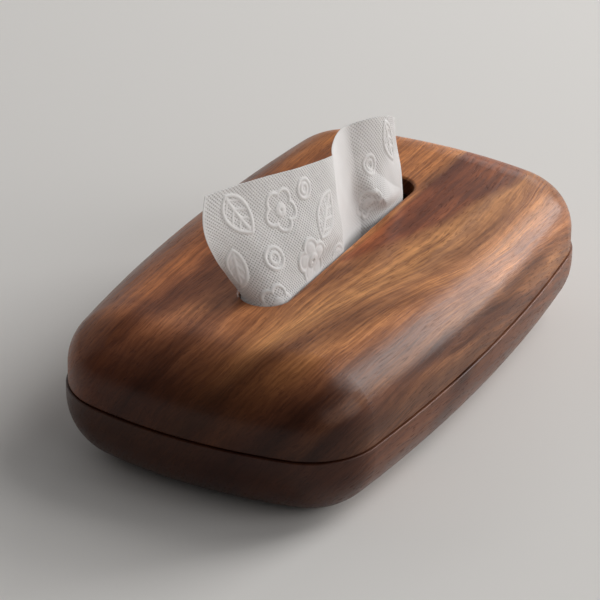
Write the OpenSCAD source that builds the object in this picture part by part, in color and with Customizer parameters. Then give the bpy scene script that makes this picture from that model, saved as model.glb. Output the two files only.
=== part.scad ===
// Wooden tissue box: a hollow lid with a long slot sits on a shallow tray.
// Two soft, bowed shells of solid wood meet at a fine shadow gap and are
// held together by disc magnets let into their rims. A block of interleaved
// tissues lies in the tray, and one tissue stands up through the slot.
// Origin: middle of the flat foot. X runs along the box, Z points up.

/* [Plan outline] */
// Length of the tray at its rim
body_length = 238; // [232:1:246]
// Width of the tray at its rim
body_width = 142; // [138:1:150]
// Radius of the four upright corners
corner_radius = 30; // [30:0.5:34]
// Radius of the bowed long sides
long_side_radius = 755; // [700:5:900]
// Radius of the bowed ends
end_radius = 194; // [180:1:240]

/* [Heights] */
// Height of the flat top of the lid
body_height = 62; // [60:0.5:72]
// Height of the tray's rim
rim_height = 30; // [28:0.5:33]
// Shadow gap between the two rims
rim_gap = 0.3; // [0.2:0.05:0.6]
// How far the lid's rim stands back from the tray's rim
rim_step = 0.8; // [0.4:0.1:1.2]
// Radius of the eased outer edge of both rims
rim_ease = 0.5; // [0.3:0.1:0.8]

/* [Walls] */
// Thickness of the side walls
wall = 9; // [8:0.5:10]
// Thickness of the lid's top
top_thickness = 8; // [6:0.5:10]
// Thickness of the tray's floor
floor_thickness = 8; // [6:0.5:10]
// Radius of the routed corner under the lid's top
lid_cove = 14; // [10:1:16]
// Radius of the routed corner round the tray's floor
tray_cove = 8; // [6:1:9]

/* [Lid form] */
// Height of the lid's upright side above its rim
lid_side_rise = 7.7; // [6:0.1:9]
// Radius of the lid's shoulder
lid_shoulder = 21; // [18:0.5:22]
// Distance from the lid's side to its flat top
lid_crown = 28.5; // [27:0.1:28.8]

/* [Tray form] */
// Radius of the turn from the tray's side to its flat foot
tray_turn = 25.5; // [22:0.5:26]

/* [Slot] */
// Length of the slot
slot_length = 126; // [120:1:132]
// Width of the slot
slot_width = 20; // [18:0.5:24]
// Radius of the slot's eased edge
slot_ease = 1.5; // [1:0.1:2]

/* [Magnets] */
// Diameter of a magnet
magnet_d = 6; // [5:0.5:6]
// Thickness of a magnet
magnet_t = 3; // [2:0.5:4]
// Glue room round a magnet
magnet_play = 0.1; // [0.05:0.01:0.2]
// Depth of a magnet's face below the rim
magnet_sink = 0.3; // [0.2:0.1:0.5]

/* [Tissues] */
// Width of a tissue, along the slot
tissue_width = 138; // [130:1:142]
// Width of the folded block, half of a tissue
block_width = 94; // [88:1:100]
// Height of the block
block_height = 36; // [30:1:38]
// Thickness of one visible bundle of folds
fold_pitch = 2; // [2:0.5:4]
// Thickness of the standing tissue
tissue_t = 0.6; // [0.5:0.1:0.7]
// Room between the standing tissue and what it passes or lies on
tissue_gap = 0.3; // [0.3:0.05:0.5]

/* [Hidden] */
tray_wood = "#6b3f26";
lid_wood = "#7d4b2c";
nickel = "#c9c9c6";
paper = "#eeedeb";
$fn = 96;

// Plan geometry. The long sides are arcs round [0, -+long_c], the ends are
// arcs round [-+end_c, 0], and a corner arc touches both.
long_c = long_side_radius - body_width / 2;
end_c = end_radius - body_length / 2;
long_reach = long_side_radius - corner_radius;
end_reach = end_radius - corner_radius;
corner = circles_meet(long_c, end_c, long_reach, end_reach);
long_normal = (corner + [0, long_c]) / long_reach;
end_normal = (corner + [end_c, 0]) / end_reach;
ring_depth = max(body_length / 2 - corner[0], body_width / 2 - corner[1]) + 2;
zone_reach = 2 * corner_radius;

// The lid turns from upright to flat through two arcs in line, the tray through one
lid_foot = rim_height + rim_gap;
lid_spring = lid_foot + lid_side_rise;
ceiling = body_height - top_thickness;

// Where circles of radii a and b, round [0, -p] and [-q, 0], cross in the first quadrant
function circles_meet(p, q, a, b) =
    let (
        d = sqrt(p * p + q * q),
        along = (b * b - a * a + d * d) / (2 * d),
        across = sqrt(b * b - along * along)
    )
    [-q + (along * q + across * p) / d, (-along * p + across * q) / d];

// Quarter turn of two arcs, from upright at [0, 0] to flat at [run, rise],
// filled on its inner side as far as depth
module two_arc_turn(first, run, rise, depth) {
    second = ((run - first) ^ 2 + rise ^ 2 - first ^ 2) / (2 * (rise - first));
    turn = [-(run - first), second - rise] / (second - first);
    join = [first, 0] + first * turn;
    outside = 2 * second;
    intersection() {
        translate([first, 0]) circle(r = first);
        polygon([[first, 0], [-first, 0], [first, 0] + 2 * first * turn]);
    }
    intersection() {
        translate([run, rise - second]) circle(r = second);
        polygon([join, join + outside * turn, [run, rise + outside], [run, rise]]);
    }
    polygon([[first, 0], [depth, 0], [depth, rise], [run, rise], join]);
}

// Outer edge of a rim, taken off the upright side at [0, 0]
module eased_corner(r) {
    difference() {
        translate([-r, -r]) square(2 * r);
        translate([r, r]) circle(r = r);
        translate([r, -r]) square(2 * r);
        translate([-r, r]) square(2 * r);
    }
}

// Routed hollow: an upright wall at [0, 0] that turns into a flat face at rise
module coved_hollow(cove, rise, depth) {
    translate([0, -1]) square([depth, rise - cove + 1]);
    translate([cove, rise - cove]) circle(r = cove);
    translate([cove, 0]) square([depth - cove, rise]);
}

// Lid section: x is the distance in from the tray's outline, y is the height
module lid_section() {
    difference() {
        translate([rim_step, 0]) {
            translate([0, lid_foot]) square([ring_depth, lid_side_rise]);
            translate([0, lid_spring])
                two_arc_turn(lid_shoulder, lid_crown, body_height - lid_spring, ring_depth);
        }
        translate([rim_step, lid_foot]) eased_corner(rim_ease);
        translate([rim_step + wall, lid_foot])
            coved_hollow(lid_cove, ceiling - lid_foot, 2 * ring_depth);
    }
}

// Tray section, in the same axes
module tray_section() {
    translate([0, rim_height]) mirror([0, 1]) difference() {
        union() {
            square([ring_depth, rim_height - tray_turn]);
            translate([tray_turn, 0]) square([ring_depth - tray_turn, rim_height]);
            intersection() {
                translate([tray_turn, rim_height - tray_turn]) circle(r = tray_turn);
                translate([0, rim_height - tray_turn]) square(tray_turn);
            }
        }
        eased_corner(rim_ease);
        translate([wall, 0])
            coved_hollow(tray_cove, rim_height - floor_thickness, 2 * ring_depth);
    }
}

// Turns a section round one arc of the outline, from half_angle either side of middle
module turned(radius, middle, half_angle, steps) {
    rotate_extrude(angle = 2 * half_angle, start = middle - half_angle, $fn = steps)
        intersection() {
            translate([radius, 0]) mirror([1, 0]) children();
            square([radius + 1, 2 * body_height]);
        }
}

// Carries a section round the whole outline, and closes the middle with a plate
module round_outline(plate_from, plate_to) {
    for (side = [0, 1]) mirror([0, side, 0]) intersection() {
        translate([0, -long_c, 0])
            turned(long_side_radius, 90, 10, 1440) children();
        linear_extrude(height = 2 * body_height) polygon([
            [-corner[0], corner[1]], corner,
            corner + zone_reach * long_normal,
            [-corner[0] - zone_reach * long_normal[0], corner[1] + zone_reach * long_normal[1]]
        ]);
    }
    for (side = [0, 1]) mirror([side, 0, 0]) intersection() {
        translate([-end_c, 0, 0])
            turned(end_radius, 0, 20, 720) children();
        linear_extrude(height = 2 * body_height) polygon([
            corner, [corner[0], -corner[1]],
            [corner[0] + zone_reach * end_normal[0], -corner[1] - zone_reach * end_normal[1]],
            corner + zone_reach * end_normal
        ]);
    }
    for (side_x = [0, 1], side_y = [0, 1])
        mirror([side_x, 0, 0]) mirror([0, side_y, 0]) intersection() {
            translate(corner) turned(corner_radius, 45, 50, 180) children();
            linear_extrude(height = 2 * body_height) polygon([
                corner, corner + zone_reach * end_normal,
                corner + zone_reach * [end_normal[0], long_normal[1]],
                corner + zone_reach * long_normal
            ]);
        }
    translate([-corner[0], -corner[1], plate_from])
        cube([2 * corner[0], 2 * corner[1], plate_to - plate_from]);
}

// Half of the slot's cutter: x is the distance from the slot's middle, y is the height
module slot_half_section() {
    mouth = slot_width / 2 + slot_ease;
    difference() {
        union() {
            translate([0, ceiling - 1]) square([slot_width / 2, top_thickness + 2]);
            translate([0, body_height - slot_ease]) square([mouth, slot_ease + 1]);
            translate([0, ceiling - 1]) square([mouth, slot_ease + 1]);
        }
        for (y = [body_height - slot_ease, ceiling + slot_ease])
            translate([mouth, y]) circle(r = slot_ease);
    }
}

module slot_cutter() {
    rotate([90, 0, 90]) linear_extrude(height = slot_length - slot_width, center = true) {
        slot_half_section();
        mirror([1, 0]) slot_half_section();
    }
    for (side = [0, 1]) mirror([side, 0, 0])
        translate([slot_end, 0, 0])
            rotate_extrude(angle = 180, start = -90) slot_half_section();
}

// Magnets: one in each rounded corner, in the middle of the wood that both rims share
slot_end = (slot_length - slot_width) / 2;
magnet_run = corner_radius - (rim_step + wall) / 2;
magnet_side = [[1, 1], [-1, 1], [-1, -1], [1, -1]];
magnet_room = magnet_t + magnet_sink;
function magnet_spot(i) =
    let (s = magnet_side[i - 1])
    [s[0] * (corner[0] + magnet_run * cos(45)), s[1] * (corner[1] + magnet_run * sin(45))];

module magnet_holes(z) {
    for (i = [1 : 4]) translate([magnet_spot(i)[0], magnet_spot(i)[1], z])
        cylinder(d = magnet_d + 2 * magnet_play, h = magnet_room + 1);
}

// A disc magnet with lightly broken edges
module magnet(i, z) {
    edge = magnet_t / 15;
    r = magnet_d / 2;
    color(nickel) translate([magnet_spot(i)[0], magnet_spot(i)[1], z])
        rotate_extrude() polygon([
            [0, 0], [r - edge, 0], [r, edge],
            [r, magnet_t - edge], [r - edge, magnet_t], [0, magnet_t]
        ]);
}

module tray_magnet(i) { magnet(i, rim_height - magnet_room); }
module lid_magnet(i) { magnet(i, lid_foot + magnet_sink); }

module base_tray() {
    color(tray_wood) difference() {
        round_outline(0, floor_thickness) tray_section();
        magnet_holes(rim_height - magnet_room);
    }
}

module lid_shell() {
    color(lid_wood) difference() {
        round_outline(ceiling, body_height) lid_section();
        slot_cutter();
        magnet_holes(lid_foot - 1);
    }
}

// Folded block: bundles of folds lie one on another, each a little out of line,
// and every bundle has rounded folds along its long sides
bundles = round(block_height / fold_pitch);
bundle_t = block_height / bundles;
fold_r = 0.56 * bundle_t;
bundle_drift = 0.5;
block_top = floor_thickness + block_height;

module bundle_section() {
    flat = block_width / 2 - bundle_drift - fold_r;
    translate([-flat, 0]) square([2 * flat, bundle_t]);
    for (side = [-1, 1]) intersection() {
        translate([side * flat, bundle_t / 2]) circle(r = fold_r, $fn = 24);
        translate([-block_width / 2, 0]) square([block_width, bundle_t]);
    }
}

module tissue_block() {
    color(paper) for (i = [0 : bundles - 1])
        translate([
            bundle_drift * sin(137 * i), bundle_drift * cos(99 * i),
            floor_thickness + i * bundle_t
        ])
            rotate([90, 0, 90])
                linear_extrude(height = tissue_width - 2 * bundle_drift, center = true)
                    bundle_section();
}

// Standing tissue. Its sheet is a grid: across runs 0 to 1 over the left panel, 1 to 2
// over the pleat and 2 to 3 over the right panel; up runs -2 to -1 from the end of the
// flap on the block to the slot, -1 to 0 through the slot and 0 to 1 above the lid.
panel_cols = [16, 8, 12];
under_rows = 8;
slot_rows = 2;
above_rows = 16;
flap_z = block_top + tissue_gap + tissue_t / 2;
flap_end = block_width / 2 - 9;

// Plan of the sheet in the slot: it starts on the far side, wraps the slot's left end,
// follows the near side and dips back once into a valley
wrap_r = slot_width / 2 - tissue_gap - tissue_t;
wrap_start = 110;
wrap_run = wrap_r * (270 - wrap_start) * PI / 180;
pleat_start = [-6, -wrap_r];
pleat_turn = [2, -4.8];
valley = [17, -5.5];
valley_turn = [26, -9.6];
right_end = [slot_length / 2 - 16, -wrap_r];

// Top edge: along the box, across it, and above the lid
top_left = [-79.5, 12.2, 50.3];
left_sag = [[-49.3, 3.9, 48.1], [-26.8, -1.9, 42.2]];
front_fold = [-5.6, -3.6, 39.5];
fold_turn = [10.4, 5.6, 41.4];
back_fold = [19.3, 1.8, 41];
right_sag = [36, -8, 43];
top_right = [49.8, -2.9, 31.7];

// Bezier curve through the first and last of a list of points
function bend(points, t) =
    len(points) == 1 ? points[0]
    : bend([for (i = [0 : len(points) - 2]) (1 - t) * points[i] + t * points[i + 1]], t);
function ramp(t) = max(0, min(1, t));
function smooth(t) = let (x = ramp(t)) x * x * (3 - 2 * x);

// Where the sheet crosses the slot, seen from above
function slot_line(across) =
    across > 2 ? bend([valley, valley_turn, right_end], across - 2)
    : across > 1 ? bend([pleat_start, pleat_turn, valley], across - 1)
    : let (run = across * (wrap_run + pleat_start[0] + slot_end))
    run > wrap_run ? [-slot_end + run - wrap_run, -wrap_r]
    : let (turn = wrap_start + (270 - wrap_start) * run / wrap_run)
    [-slot_end + wrap_r * cos(turn), wrap_r * sin(turn)];

function top_line(across) =
    across > 2 ? bend([back_fold, right_sag, top_right], across - 2)
    : across > 1 ? bend([front_fold, fold_turn, back_fold], across - 1)
    : bend([top_left, left_sag[0], left_sag[1], front_fold], across);

// Share of the way from the slot's plan to the top's: the left edge leans out early,
// the middle evenly, and the right edge stands upright first
lean_low = [0.54, 0.38, 0.05];
lean_high = [1.25, 0.72, 0.79];
function lean(across, up) =
    let (left = 1 - smooth(across), right = smooth(across - 2), middle = 1 - left - right)
    bend([0, [left, middle, right] * lean_low, [left, middle, right] * lean_high, 1], up);

// The left panel swells out over the slot's near edge
swell = 3;
swell_at = [0.7, 0.3];
swell_size = [0.24, 0.24];

// The right panel steps forward below a crease that runs down to the slot. Its line
// is given along the panel and above the lid.
crease_from = [0, 19.5];
crease_to = [22, 1.5];
crease_step = 2.4;
crease_flank = 5;
crease_fade = 10;

// How far the sheet stands forward of its plain surface
function forward(across, up) =
    let (
        from_centre = [(across - swell_at[0]) / swell_size[0], (up - swell_at[1]) / swell_size[1]],
        spot = [(across - 2) * (right_end[0] - valley[0]), up * top_line(across)[2]],
        line = crease_to - crease_from,
        along = (spot - crease_from) * line / (line * line),
        below = -cross(line, spot - crease_from) / norm(line),
        step = smooth(below / crease_flank) * exp(-(max(0, below - crease_flank) / crease_fade) ^ 2),
        ends = smooth(2.2 * along + 0.75) * smooth(3 * (1.3 - along)) * smooth((across - 1.85) / 0.35)
    )
    smooth(up / 0.22) * (swell * exp(-from_centre * from_centre) + crease_step * step * ends);

function sheet_point(across, up) =
    let (from = slot_line(across))
    up < -1 ? let (
        way = -1 - up,
        to = [tissue_width * (reach(across) - 0.5), flap_end],
        plan = from + (to - from) * way ^ 1.4
    )
    [plan[0], plan[1], flap_z + (ceiling - flap_z) * (1 - ramp(2.5 * way)) ^ 2]
    : up < 0 ? [from[0], from[1], body_height + up * top_thickness]
    : let (
        to = top_line(across),
        plan = from + ([to[0], to[1]] - from) * lean(across, up)
    )
    [plan[0], plan[1] - forward(across, up), body_height + to[2] * up];

// Share of the tissue's width that lies left of a place on the sheet
left_share = 0.56;
pleat_share = 0.19;
function reach(across) =
    across > 2 ? left_share + pleat_share + (1 - left_share - pleat_share) * (across - 2)
    : across > 1 ? left_share + pleat_share * (across - 1)
    : left_share * across;

function sheet_normal(across, up) =
    let (
        d = 0.01,
        a = sheet_point(min(3, across + d), up) - sheet_point(max(0, across - d), up),
        b = sheet_point(across, min(1, up + d)) - sheet_point(across, max(-2, up - d)),
        n = cross(a, b)
    )
    n / norm(n);

// A closed skin round a grid of points: both faces and the four edges
module thick_sheet(across_at, up_at, thickness) {
    nu = len(across_at);
    nv = len(up_at);
    face_points = [for (side = [1, -1], up = up_at, across = across_at)
        sheet_point(across, up) + side * thickness / 2 * sheet_normal(across, up)];
    back = nu * nv;
    function at(i, j) = j * nu + i;
    front_faces = [for (j = [0 : nv - 2], i = [0 : nu - 2]) each [
        [at(i, j), at(i, j + 1), at(i + 1, j + 1)],
        [at(i, j), at(i + 1, j + 1), at(i + 1, j)]
    ]];
    back_faces = [for (f = front_faces) [f[2] + back, f[1] + back, f[0] + back]];
    rim = concat(
        [for (i = [0 : nu - 2]) at(i, 0)],
        [for (j = [0 : nv - 2]) at(nu - 1, j)],
        [for (i = [nu - 1 : -1 : 1]) at(i, nv - 1)],
        [for (j = [nv - 1 : -1 : 1]) at(0, j)]
    );
    edge_faces = [for (k = [0 : len(rim) - 1])
        let (p = rim[k], q = rim[(k + 1) % len(rim)])
        each [[p, q, q + back], [p, q + back, p + back]]];
    polyhedron(points = face_points, faces = concat(front_faces, back_faces, edge_faces));
}

across_at = [for (part = [0 : 2], i = [0 : panel_cols[part] - 1]) part + i / panel_cols[part], 3];
up_at = [
    for (j = [0 : under_rows - 1]) -2 + j / under_rows,
    for (j = [0 : slot_rows - 1]) -1 + j / slot_rows,
    for (j = [0 : above_rows]) j / above_rows
];

module standing_tissue() { color(paper) thick_sheet(across_at, up_at, tissue_t); }

base_tray();
lid_shell();
for (i = [1 : 4]) tray_magnet(i);
for (i = [1 : 4]) lid_magnet(i);
tissue_block();
standing_tissue();
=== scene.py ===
"""Looks of the wooden tissue box: lacquered acacia shells, plated magnets, embossed tissues.

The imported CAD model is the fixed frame. The two shells and the magnets keep their CAD
meshes and are dressed here. The folded block and the standing tissue are modelled again
as thin paper. Sizes held in the classes are millimetres unless a name says otherwise.
"""

import logging
import math
from dataclasses import dataclass
from enum import Enum
from functools import partial
from typing import Callable, ClassVar, Optional, Sequence, Union

import bpy
import numpy as np
from mathutils import Matrix, Vector


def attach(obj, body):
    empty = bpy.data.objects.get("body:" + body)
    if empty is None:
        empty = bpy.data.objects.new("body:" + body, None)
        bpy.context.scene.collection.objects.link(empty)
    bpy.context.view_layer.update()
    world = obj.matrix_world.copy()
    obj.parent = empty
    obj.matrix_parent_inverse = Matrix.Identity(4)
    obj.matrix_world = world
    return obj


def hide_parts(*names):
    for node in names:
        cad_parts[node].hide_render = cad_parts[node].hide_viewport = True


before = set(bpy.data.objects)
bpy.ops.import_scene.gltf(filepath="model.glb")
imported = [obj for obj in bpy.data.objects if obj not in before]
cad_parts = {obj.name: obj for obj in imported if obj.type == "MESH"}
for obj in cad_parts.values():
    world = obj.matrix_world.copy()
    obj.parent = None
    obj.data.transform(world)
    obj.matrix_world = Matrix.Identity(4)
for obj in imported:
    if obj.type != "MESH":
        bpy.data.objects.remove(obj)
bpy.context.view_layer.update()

MM = 0.001
LOG = logging.getLogger("tissue_box")

Socket = bpy.types.NodeSocket
# Adds a node to one material's tree
AddNode = Callable[..., Socket]
# A line drawn along the box: the value at each of some places, in millimetres
Line = dict[float, float]


# Shared helpers


def linear(code: str) -> tuple[float, float, float, float]:
    """Turns an sRGB hex colour into Blender's linear colour.

    Args:
        code: six hex digits, such as "8a5a3c".

    Returns:
        Linear red, green, blue and a full alpha.
    """
    parts = [int(code[i : i + 2], 16) / 255 for i in (0, 2, 4)]
    shades = [c / 12.92 if c <= 0.04045 else ((c + 0.055) / 1.055) ** 2.4 for c in parts]
    return (*shades, 1.0)


def add_node(
    tree: bpy.types.NodeTree,
    kind: str,
    inputs: Union[dict, Sequence] = (),
    output: Union[int, str] = 0,
    **settings: object,
) -> Optional[Socket]:
    """Adds one node with its settings and links.

    Args:
        tree: the material's node tree.
        kind: the kind of node, without Blender's prefix.
        inputs: sockets to link from or values to set, by name or in order.
        output: which of its outputs to give.
        **settings: the node's own properties.

    Returns:
        The output, or nothing where the node has none.
    """
    made = tree.nodes.new(f"ShaderNode{kind}")
    for name, value in settings.items():
        setattr(made, name, value)
    for key, source in inputs.items() if isinstance(inputs, dict) else enumerate(inputs):
        if isinstance(source, Socket):
            tree.links.new(source, made.inputs[key])
        else:
            made.inputs[key].default_value = source
    return made.outputs[output] if made.outputs else None


def new_material(name: str) -> tuple[bpy.types.Material, AddNode]:
    """Makes a material with an empty node tree.

    Args:
        name: the finish's plain name.

    Returns:
        The material, and add_node for its tree.
    """
    made = bpy.data.materials.new(name)
    made.use_nodes = True
    made.node_tree.nodes.clear()
    return made, partial(add_node, made.node_tree)


def dress(piece: bpy.types.Object, material: bpy.types.Material) -> None:
    """Gives every face of a piece one material.

    Args:
        piece: the piece to dress.
        material: its finish.
    """
    for slot in piece.material_slots:
        slot.material = material
    if not piece.material_slots:
        piece.data.materials.append(material)


def select_only(piece: bpy.types.Object) -> None:
    """Leaves one object selected and active.

    Args:
        piece: the object.
    """
    bpy.ops.object.select_all(action="DESELECT")
    piece.select_set(True)
    bpy.context.view_layer.objects.active = piece


# Finishes


class Shell(Enum):
    """The two wooden shells."""

    LID = "lid"
    TRAY = "tray"


@dataclass(frozen=True)
class GrowthBand:
    """One band of the board that is darker than its layer.

    Where its strength is below nothing it is paler. Its course, which is a level on the
    board, and its strength change along the box.
    """

    course: Line
    strength: Line
    half_width: float


@dataclass(frozen=True)
class Place:
    """Where a point lies in the board: sockets in millimetres.

    x, y and z are the box's own. level is measured over the board, and across also
    follows the sway of its layers. depth is how far in front of the fan's start the point
    lies. layer says which growth layer it is in, and flow follows the fibres.
    """

    x: Socket
    y: Socket
    z: Socket
    level: Socket
    across: Socket
    depth: Socket
    layer: Socket
    flow: Socket


@dataclass(frozen=True)
class SatinAcacia:
    """Acacia board, sanded fine and sprayed with satin lacquer.

    The heartwood is banded from golden tan to purple brown, short open pores show as
    dark flecks along the grain, and the thin lacquer gives a soft, broad sheen.

    The growth layers run along the box. On the front half they fan out: one layer dips
    away from the slot and back, those past it follow it over the shoulder, and on the
    side they run level again.
    """

    shell: Shell
    # Growth layers: place across the board and colour
    layers: tuple[tuple[float, str], ...]
    # How far the fan opens, at places along the box
    fan: Line
    # Width of the dark heart inside the fan, at places along the box
    heart: Line
    # Depth of colour, at places along the box. Towards the near end it is darker wood and also
    # painted shade of that end, which faces away from the lamps
    tone_and_painted_shade: Line
    heart_colour: str
    # Plain golden wood of the far half, behind the fan
    gold_colour: str
    gold_strength: float
    bands: tuple[GrowthBand, ...] = ()
    # Bare wood inside the shell is paler and duller than the lacquered outside
    inside_colour: str = "a3714b"
    inside_share: float = 0.45
    fan_start: float = -12.0
    fan_root: float = 8.0
    fan_flow: float = 30.0
    # The band between the fan and the side, in the layers' own measure and the fibres'
    band_width: float = 42.0
    band_flow: float = 36.0
    # Depth at which the layers run level again, and how it slopes along the box
    side_depth: float = 62.0
    side_slope: float = 0.11
    layer_tilt: float = 0.7
    layer_low: float = -110.0
    layer_high: float = 75.0
    crown: float = 62.0
    half_length: float = 119.0
    half_width: float = 71.0
    end_radius: float = 194.0
    side_radius: float = 755.0
    corner_radius: float = 30.0
    wall: float = 9.3
    inside_low: float = 7.2
    inside_high: float = 54.3
    slot_half_width: float = 10.4
    slot_half_length: float = 63.6
    slot_lip: float = 61.2
    heart_strength: float = 0.85
    # Where the heart and the golden wood begin and are full
    heart_start: tuple[float, float] = (0.0, 3.0)
    heart_edge: tuple[float, float] = (0.0, 7.0)
    gold_along: tuple[float, float] = (15.0, 75.0)
    gold_across: tuple[float, float] = (-14.0, -8.0)
    # How much of the figure goes where the wood is darkest or painted shade lies
    quieting: float = 0.6
    # Pores are dark everywhere, and darker in patches
    pore_shade: float = 0.12
    pore_patches: float = 0.22
    # The slot's cut wall is end grain, which drinks lacquer and darkens, and it also carries
    # painted shade of the deep, unlit slot
    end_grain_and_slot_shade: float = 0.7
    # Dark wood is redder: green and blue fall off faster than red
    green_fall: float = 1.15
    blue_fall: float = 1.12
    # Satin lacquer, duller over fibres and pores, and bare wood duller still
    roughness: float = 0.31
    fibre_roughness: float = 0.10
    pore_roughness: float = 0.16
    bare_roughness: float = 0.22
    relief: float = 0.05

    # Drift of the layers: its patches along, across and up, and how far it reaches
    SWAY: ClassVar[tuple] = ((95.0, 42.0, 60.0), 7.0)
    TREMOR: ClassVar[tuple] = ((26.0, 7.0, 9.0), 2.6)
    # Noise patches along, across and up, with octaves and the range that shows. Fibres
    # are 1 mm bundles. Real pores are 0.2 mm wide: drawn at 0.6 mm, or they don't show
    FIGURE: ClassVar[dict[str, tuple]] = {
        "fibre": ((24.0, 1.0, 6.0), 4.0, 0.34, 0.66),
        "streak": ((64.0, 3.0, 12.0), 4.0, 0.44, 0.72),
        "ripple": ((8.0, 22.0, 24.0), 3.0, 0.30, 0.70),
        "cloud": ((40.0, 11.0, 15.0), 3.0, 0.35, 0.68),
        "pores": ((5.0, 0.6, 1.4), 1.0, 0.56, 0.70),
    }
    # How far each part of the figure shades the wood, below nothing where it darkens
    CONTRAST: ClassVar[dict[str, float]] = {
        "fibre": 0.50,
        "ripple": 0.16,
        "cloud": 0.30,
        "streak": -0.40,
    }

    def place(self, node: AddNode) -> Place:
        """Finds where a point lies in the board.

        Args:
            node: adds a node to the material.

        Returns:
            The point's place.
        """
        own = node("TexCoord", output="Object")
        spot = node("VectorMath", {0: own, "Scale": 1 / MM}, operation="SCALE")
        x, y, z = node("SeparateXYZ", (spot,)).node.outputs
        drifts = []
        for sizes, reach in (self.SWAY, self.TREMOR):
            part = node("VectorMath", (spot, sizes), operation="DIVIDE")
            drift = node("TexNoise", {"Vector": part, "Scale": 1.0, "Detail": 2.0})
            drifts.append(node("Math", (drift, reach, -reach / 2), operation="MULTIPLY_ADD"))
        sway, tremor = drifts
        tilt = node("Math", (z, self.crown), operation="SUBTRACT")
        level = node("Math", (tilt, self.layer_tilt, y), operation="MULTIPLY_ADD")
        level = node("Math", (level, tremor), operation="ADD")
        across = node("Math", (level, sway), operation="ADD")

        # Into the fan, then over the band past it, then down the side
        fan = self.along_box(node, x, self.fan)
        depth = node("Math", (self.fan_start, across), operation="SUBTRACT")
        behind = node("Math", (depth, 0.0), operation="MINIMUM")
        fanned = node("Math", (depth, 0.0), operation="MAXIMUM")
        fanned = node("Math", (fanned, fan), operation="MINIMUM")
        share = node("Math", (fanned, fan), operation="DIVIDE")
        eased = node("Math", (fan, self.fan_root), operation="ADD")
        eased = node("Math", (fanned, eased), operation="DIVIDE")
        shelf = node("Math", (x, self.side_slope, self.side_depth), operation="MULTIPLY_ADD")
        past = node("Math", (depth, fan), operation="SUBTRACT")
        band = node("Math", (shelf, fan), operation="SUBTRACT")
        band = node("Math", (past, band), operation="DIVIDE", use_clamp=True)
        side = node("Math", (depth, shelf), operation="SUBTRACT")
        side = node("Math", (side, 0.0), operation="MAXIMUM")
        plain = node("Math", (behind, side), operation="ADD")
        sums = []
        for inside, inner, outer in (
            (share, self.fan_root, self.band_width),
            (eased, self.fan_flow, self.band_flow),
        ):
            total = node("Math", (inside, inner, plain), operation="MULTIPLY_ADD")
            total = node("Math", (band, outer, total), operation="MULTIPLY_ADD")
            sums.append(node("Math", (self.fan_start, total), operation="SUBTRACT"))
        return Place(x, y, z, level, across, depth, *sums)

    def along_box(self, node: AddNode, x: Socket, points: Line) -> Socket:
        """Reads a value off a smooth line drawn over the box's length.

        Args:
            node: adds a node to the material.
            x: place along the box.
            points: the line, which runs level past its first and last points.

        Returns:
            The value.
        """
        values = list(points.values())
        low, span = min(values), max(values) - min(values) or 1.0
        points = {-self.half_length: values[0], self.half_length: values[-1]} | points
        part = node("Math", (x, 0.5 / self.half_length, 0.5), operation="MULTIPLY_ADD")
        drawn = node("FloatCurve", {"Value": part})
        line = drawn.node.mapping.curves[0]
        first, *inner, last = [
            (0.5 + 0.5 * at / self.half_length, (value - low) / span)
            for at, value in sorted(points.items())
        ]
        line.points[0].location, line.points[1].location = first, last
        for spot in inner:
            line.points.new(*spot)
        drawn.node.mapping.update()
        return node("Math", (drawn, span, low), operation="MULTIPLY_ADD")

    def figure(self, node: AddNode, at: Place) -> dict[str, Socket]:
        """Draws the fine figure along the fibres.

        Args:
            node: adds a node to the material.
            at: the point's place.

        Returns:
            Each part of the figure, from 0 to 1.
        """
        spot = node("CombineXYZ", (at.x, at.flow, at.z))
        parts = {}
        for name, (sizes, detail, low, high) in self.FIGURE.items():
            part = node("VectorMath", (spot, sizes), operation="DIVIDE")
            noise = {"Vector": part, "Scale": 1.0, "Detail": detail, "Roughness": 0.6}
            reach = {"Value": node("TexNoise", noise), "From Min": low, "From Max": high}
            parts[name] = node("MapRange", reach, interpolation_type="SMOOTHSTEP")
        return parts

    def board(self, node: AddNode, at: Place) -> Socket:
        """Colours the growth layers, the heart inside the fan and the golden far half.

        Args:
            node: adds a node to the material.
            at: the point's place.

        Returns:
            The board's colour, not yet shaded.
        """
        span = self.layer_high - self.layer_low
        part = node("Math", (at.layer, -self.layer_low), operation="ADD")
        part = node("Math", (part, span), operation="DIVIDE")
        wood = node("ValToRGB", (part,))
        wood.node.color_ramp.interpolation = "B_SPLINE"
        stops = wood.node.color_ramp.elements
        for stop, (place, code) in zip(stops, (self.layers[0], self.layers[-1])):
            stop.position, stop.color = (place - self.layer_low) / span, linear(code)
        for place, code in self.layers[1:-1]:
            stops.new((place - self.layer_low) / span).color = linear(code)

        heart = self.along_box(node, at.x, self.heart)
        heart = node("Math", (heart, at.depth), operation="SUBTRACT")
        dark = ((at.depth, self.heart_start), (heart, self.heart_edge))
        golden = ((at.x, self.gold_along), (at.across, self.gold_across))
        for reaches, strength, code in (
            (dark, self.heart_strength, self.heart_colour),
            (golden, self.gold_strength, self.gold_colour),
        ):
            factor = strength
            for value, (low, high) in reaches:
                reach = {"Value": value, "From Min": low, "From Max": high}
                edge = node("MapRange", reach, interpolation_type="SMOOTHSTEP")
                factor = node("Math", (edge, factor), operation="MULTIPLY")
            blend = {"Factor": factor, "A": wood, "B": linear(code)}
            wood = node("Mix", blend, output="Result", data_type="RGBA")
        return wood

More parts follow.
